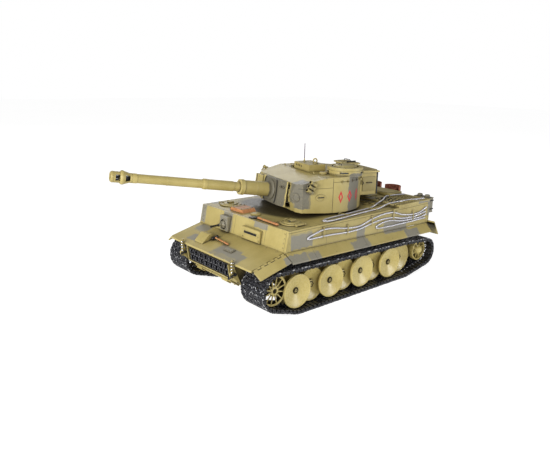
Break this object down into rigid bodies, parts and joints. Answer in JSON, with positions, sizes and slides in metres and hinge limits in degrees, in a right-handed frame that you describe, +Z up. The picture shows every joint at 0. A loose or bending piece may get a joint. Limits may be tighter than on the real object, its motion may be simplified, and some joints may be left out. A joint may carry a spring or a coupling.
{
  "type": "radio controlled tank",
  "caption": "Radio controlled model of a heavy tank with a traversing turret, elevating gun, interleaved road wheels, closed tracks, hatches and tow cables.",
  "frame": {"origin": "on the ground, at the centre of the rectangle that bounds the whole model seen from above, gun included", "axes": "+X forward along the hull, +Y to the model's left, +Z up"},
  "size_m": [0.4819, 0.2216, 0.2045],
  "materials": {
    "camo_paint": "matte sand-khaki paint with soft-edged grey camouflage blocks on moulded plastic and metal plates",
    "wheel_paint": "satin khaki paint on moulded wheels",
    "grey_paint": "matte field-grey paint",
    "rust_paint": "red-brown heat-worn paint",
    "tool_paint": "reddish brown painted wood with dark metal heads",
    "track_plastic": "near-black satin plastic",
    "cable_steel": "bright twisted wire",
    "axle_steel": "steel axles in painted arms",
    "motor_case": "black painted gearbox and motor can",
    "battery_wrap": "blue shrink wrap",
    "board_green": "green circuit board with black components",
    "gun_black": "satin black"
  },
  "bodies": {
    "hull": {"lower_hull": "camo_paint", "upper_hull": "camo_paint", "front_plate": "camo_paint", "glacis": "camo_paint", "skirt_left": "camo_paint", "skirt_right": "camo_paint", "rear_plate": "camo_paint", "engine_deck": "camo_paint", "exhausts": "rust_paint", "air_filters": "grey_paint", "spare_links": "track_plastic", "tow_shackles": "camo_paint", "tow_cables": "cable_steel", "cable_clips": "camo_paint", "headlamp": "camo_paint", "tools": "tool_paint", "track_left": "track_plastic", "track_right": "track_plastic", "axle_arms": "axle_steel", "drive_units": "motor_case", "battery": "battery_wrap", "electronics": "board_green"},
    "sprocket_left": {"sprocket_left": "wheel_paint"},
    "sprocket_right": {"sprocket_right": "wheel_paint"},
    "idler_left": {"idler_left": "wheel_paint"},
    "idler_right": {"idler_right": "wheel_paint"},
    "wheel_left_1": {"wheel_left_1": "wheel_paint"},
    "wheel_left_2": {"wheel_left_2": "wheel_paint"},
    "wheel_left_3": {"wheel_left_3": "wheel_paint"},
    "wheel_left_4": {"wheel_left_4": "wheel_paint"},
    "wheel_left_5": {"wheel_left_5": "wheel_paint"},
    "wheel_left_6": {"wheel_left_6": "wheel_paint"},
    "wheel_left_7": {"wheel_left_7": "wheel_paint"},
    "wheel_left_8": {"wheel_left_8": "wheel_paint"},
    "wheel_right_1": {"wheel_right_1": "wheel_paint"},
    "wheel_right_2": {"wheel_right_2": "wheel_paint"},
    "wheel_right_3": {"wheel_right_3": "wheel_paint"},
    "wheel_right_4": {"wheel_right_4": "wheel_paint"},
    "wheel_right_5": {"wheel_right_5": "wheel_paint"},
    "wheel_right_6": {"wheel_right_6": "wheel_paint"},
    "wheel_right_7": {"wheel_right_7": "wheel_paint"},
    "wheel_right_8": {"wheel_right_8": "wheel_paint"},
    "turret": {"turret_shell": "camo_paint", "roof_box": "camo_paint", "antenna": "cable_steel", "cupola": "camo_paint", "turret_bin": "camo_paint", "smoke_launchers": "camo_paint"},
    "cupola_lid": {"cupola_lid": "camo_paint"},
    "loader_hatch": {"loader_hatch": "camo_paint"},
    "gun": {"mantlet": "camo_paint"},
    "recoil": {"barrel": "camo_paint", "muzzle_brake": "camo_paint"},
    "hatch_left": {"hatch_left": "camo_paint"},
    "hatch_right": {"hatch_right": "camo_paint"},
    "hull_mg": {"hull_mg": "gun_black"},
    "flap_left": {"flap_left": "camo_paint"},
    "flap_right": {"flap_right": "camo_paint"},
    "rear_flap_left": {"rear_flap_left": "camo_paint"},
    "rear_flap_right": {"rear_flap_right": "camo_paint"}
  },
  "joints": [
    {"name": "sprocket_left_spin", "type": "hinge", "parent": "hull", "child": "sprocket_left", "pos_m": [0.1065, 0.085, 0.0385], "axis": [0, 1, 0], "continuous": true},
    {"name": "idler_left_spin", "type": "hinge", "parent": "hull", "child": "idler_left", "pos_m": [-0.2085, 0.085, 0.0325], "axis": [0, 1, 0], "continuous": true},
    {"name": "wheel_left_1_spin", "type": "hinge", "parent": "hull", "child": "wheel_left_1", "pos_m": [0.068, 0.085, 0.0298], "axis": [0, 1, 0], "continuous": true},
    {"name": "wheel_left_2_spin", "type": "hinge", "parent": "hull", "child": "wheel_left_2", "pos_m": [0.0358, 0.085, 0.0298], "axis": [0, 1, 0], "continuous": true},
    {"name": "wheel_left_3_spin", "type": "hinge", "parent": "hull", "child": "wheel_left_3", "pos_m": [0.0036, 0.085, 0.0298], "axis": [0, 1, 0], "continuous": true},
    {"name": "wheel_left_4_spin", "type": "hinge", "parent": "hull", "child": "wheel_left_4", "pos_m": [-0.0286, 0.085, 0.0298], "axis": [0, 1, 0], "continuous": true},
    {"name": "wheel_left_5_spin", "type": "hinge", "parent": "hull", "child": "wheel_left_5", "pos_m": [-0.0608, 0.085, 0.0298], "axis": [0, 1, 0], "continuous": true},
    {"name": "wheel_left_6_spin", "type": "hinge", "parent": "hull", "child": "wheel_left_6", "pos_m": [-0.093, 0.085, 0.0298], "axis": [0, 1, 0], "continuous": true},
    {"name": "wheel_left_7_spin", "type": "hinge", "parent": "hull", "child": "wheel_left_7", "pos_m": [-0.1252, 0.085, 0.0298], "axis": [0, 1, 0], "continuous": true},
    {"name": "wheel_left_8_spin", "type": "hinge", "parent": "hull", "child": "wheel_left_8", "pos_m": [-0.1574, 0.085, 0.0298], "axis": [0, 1, 0], "continuous": true},
    {"name": "sprocket_right_spin", "type": "hinge", "parent": "hull", "child": "sprocket_right", "pos_m": [0.1065, -0.085, 0.0385], "axis": [0, 1, 0], "continuous": true},
    {"name": "idler_right_spin", "type": "hinge", "parent": "hull", "child": "idler_right", "pos_m": [-0.2085, -0.085, 0.0325], "axis": [0, 1, 0], "continuous": true},
    {"name": "wheel_right_1_spin", "type": "hinge", "parent": "hull", "child": "wheel_right_1", "pos_m": [0.068, -0.085, 0.0298], "axis": [0, 1, 0], "continuous": true},
    {"name": "wheel_right_2_spin", "type": "hinge", "parent": "hull", "child": "wheel_right_2", "pos_m": [0.0358, -0.085, 0.0298], "axis": [0, 1, 0], "continuous": true},
    {"name": "wheel_right_3_spin", "type": "hinge", "parent": "hull", "child": "wheel_right_3", "pos_m": [0.0036, -0.085, 0.0298], "axis": [0, 1, 0], "continuous": true},
    {"name": "wheel_right_4_spin", "type": "hinge", "parent": "hull", "child": "wheel_right_4", "pos_m": [-0.0286, -0.085, 0.0298], "axis": [0, 1, 0], "continuous": true},
    {"name": "wheel_right_5_spin", "type": "hinge", "parent": "hull", "child": "wheel_right_5", "pos_m": [-0.0608, -0.085, 0.0298], "axis": [0, 1, 0], "continuous": true},
    {"name": "wheel_right_6_spin", "type": "hinge", "parent": "hull", "child": "wheel_right_6", "pos_m": [-0.093, -0.085, 0.0298], "axis": [0, 1, 0], "continuous": true},
    {"name": "wheel_right_7_spin", "type": "hinge", "parent": "hull", "child": "wheel_right_7", "pos_m": [-0.1252, -0.085, 0.0298], "axis": [0, 1, 0], "continuous": true},
    {"name": "wheel_right_8_spin", "type": "hinge", "parent": "hull", "child": "wheel_right_8", "pos_m": [-0.1574, -0.085, 0.0298], "axis": [0, 1, 0], "continuous": true},
    {"name": "turret_traverse", "type": "hinge", "parent": "hull", "child": "turret", "pos_m": [-0.056, 0, 0.11], "axis": [0, 0, 1], "continuous": true},
    {"name": "gun_elevation", "type": "hinge", "parent": "turret", "child": "gun", "pos_m": [0.00421, -0.01479, 0.1383], "axis": [-0.2385, -0.9711, 0], "range_deg": [-11, 6.8]},
    {"name": "barrel_recoil", "type": "slide", "parent": "gun", "child": "recoil", "axis": [0.9612, -0.2361, 0.1426], "range_m": [-0.008, 0], "stiffness_N_per_m": 400, "springref_m": 0.002},
    {"name": "cupola_lid_swing", "type": "hinge", "parent": "turret", "child": "cupola_lid", "pos_m": [-0.09064, 0.05433, 0.1763], "axis": [-0.2385, -0.9711, 0], "range_deg": [0, 100]},
    {"name": "loader_hatch_swing", "type": "hinge", "parent": "turret", "child": "loader_hatch", "pos_m": [-0.10251, 0.00936, 0.1735], "axis": [0.2385, 0.9711, 0], "range_deg": [0, 95]},
    {"name": "hatch_left_swing", "type": "hinge", "parent": "hull", "child": "hatch_left", "pos_m": [0.05, 0.086, 0.1132], "axis": [-1, 0, 0], "range_deg": [0, 110]},
    {"name": "hatch_right_swing", "type": "hinge", "parent": "hull", "child": "hatch_right", "pos_m": [0.05, -0.086, 0.1132], "axis": [1, 0, 0], "range_deg": [0, 110]},
    {"name": "hull_mg_swivel", "type": "hinge", "parent": "hull", "child": "hull_mg", "pos_m": [0.0875, -0.032, 0.095], "axis": [0, 0, 1], "range_deg": [-12, 12]},
    {"name": "flap_left_swing", "type": "hinge", "parent": "hull", "child": "flap_left", "pos_m": [0.0875, 0.0965, 0.08274], "axis": [0.9691, 0, -0.2468], "range_deg": [0, 75]},
    {"name": "flap_right_swing", "type": "hinge", "parent": "hull", "child": "flap_right", "pos_m": [0.0875, -0.0965, 0.08274], "axis": [-0.9691, 0, 0.2468], "range_deg": [0, 75]},
    {"name": "rear_flap_left_swing", "type": "hinge", "parent": "hull", "child": "rear_flap_left", "pos_m": [-0.2261, 0.088, 0.0792], "axis": [0, 1, 0], "range_deg": [0, 60]},
    {"name": "rear_flap_right_swing", "type": "hinge", "parent": "hull", "child": "rear_flap_right", "pos_m": [-0.2261, -0.088, 0.0792], "axis": [0, 1, 0], "range_deg": [0, 60]}
  ],
  "couplings": [
    {"joint": "idler_left_spin", "follows": "sprocket_left_spin", "ratio": 1.1891},
    {"joint": "wheel_left_1_spin", "follows": "sprocket_left_spin", "ratio": 0.9917},
    {"joint": "wheel_left_2_spin", "follows": "sprocket_left_spin", "ratio": 0.9917},
    {"joint": "wheel_left_3_spin", "follows": "sprocket_left_spin", "ratio": 0.9917},
    {"joint": "wheel_left_4_spin", "follows": "sprocket_left_spin", "ratio": 0.9917},
    {"joint": "wheel_left_5_spin", "follows": "sprocket_left_spin", "ratio": 0.9917},
    {"joint": "wheel_left_6_spin", "follows": "sprocket_left_spin", "ratio": 0.9917},
    {"joint": "wheel_left_7_spin", "follows": "sprocket_left_spin", "ratio": 0.9917},
    {"joint": "wheel_left_8_spin", "follows": "sprocket_left_spin", "ratio": 0.9917},
    {"joint": "idler_right_spin", "follows": "sprocket_right_spin", "ratio": 1.1891},
    {"joint": "wheel_right_1_spin", "follows": "sprocket_right_spin", "ratio": 0.9917},
    {"joint": "wheel_right_2_spin", "follows": "sprocket_right_spin", "ratio": 0.9917},
    {"joint": "wheel_right_3_spin", "follows": "sprocket_right_spin", "ratio": 0.9917},
    {"joint": "wheel_right_4_spin", "follows": "sprocket_right_spin", "ratio": 0.9917},
    {"joint": "wheel_right_5_spin", "follows": "sprocket_right_spin", "ratio": 0.9917},
    {"joint": "wheel_right_6_spin", "follows": "sprocket_right_spin", "ratio": 0.9917},
    {"joint": "wheel_right_7_spin", "follows": "sprocket_right_spin", "ratio": 0.9917},
    {"joint": "wheel_right_8_spin", "follows": "sprocket_right_spin", "ratio": 0.9917}
  ]
}
